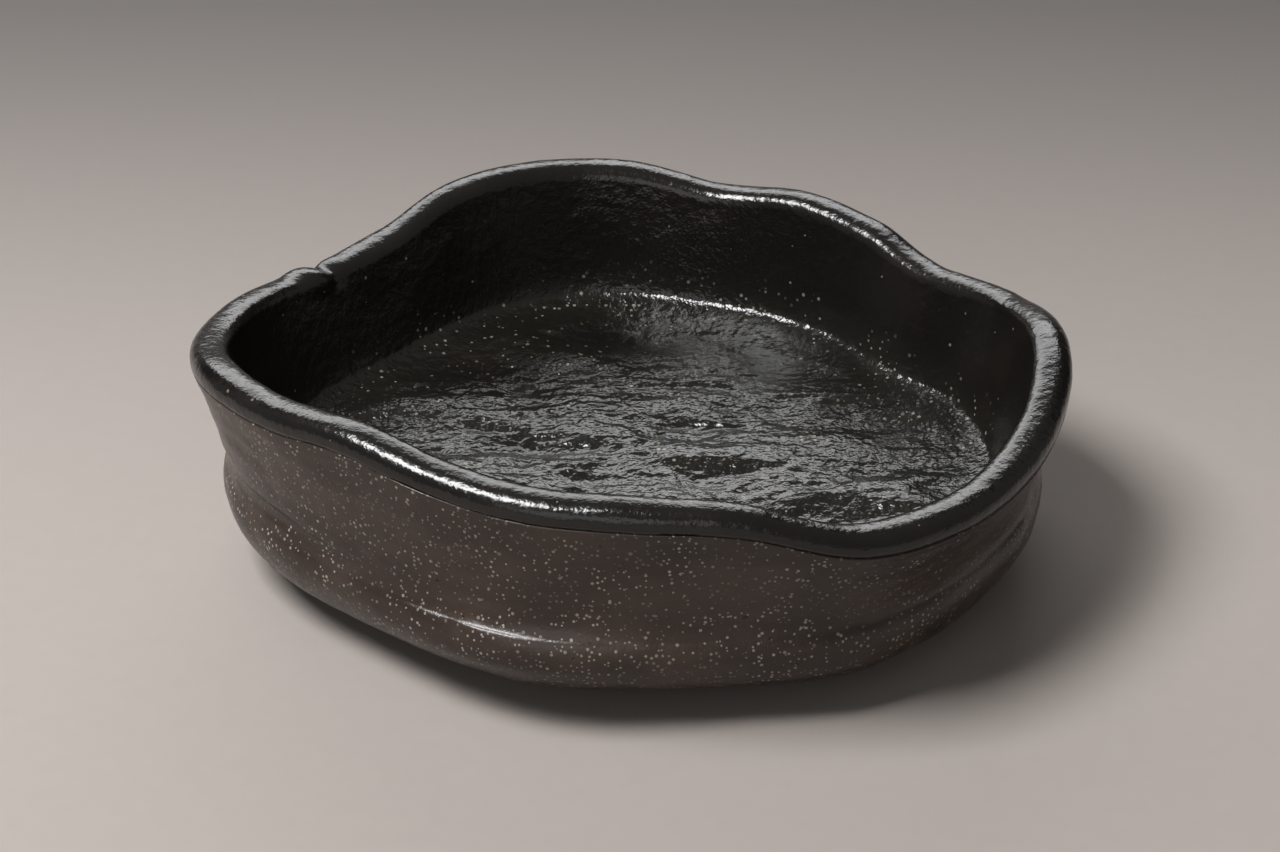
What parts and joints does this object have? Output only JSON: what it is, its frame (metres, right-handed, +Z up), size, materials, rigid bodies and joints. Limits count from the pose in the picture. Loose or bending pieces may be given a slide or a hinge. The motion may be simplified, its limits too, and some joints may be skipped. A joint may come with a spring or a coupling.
{
  "type": "tea bowl",
  "caption": "Shallow hand-built glazed tea bowl with a wavering rolled rim, near-upright wall, ridged floor and low foot ring.",
  "frame": {"origin": "on the table under the middle of the bowl's widest outline", "axes": "+Z up out of the bowl's mouth, +X along its longer side, -Y towards the side that the picture shows"},
  "size_m": [0.151, 0.136, 0.0462],
  "materials": {
    "fired_clay": "rough, unglazed",
    "gloss_black_glaze": "gloss black, orange-peel surface",
    "satin_brown_glaze": "satin brown-black with pale grains"
  },
  "bodies": {
    "root": {"foot_ring": "fired_clay", "floor_slab": "fired_clay", "heel_coil": "fired_clay", "wall_strip": "fired_clay", "rim_coil": "fired_clay", "inner_glaze": "gloss_black_glaze", "outer_glaze": "satin_brown_glaze", "foot_well_glaze": "satin_brown_glaze"}
  },
  "joints": []
}
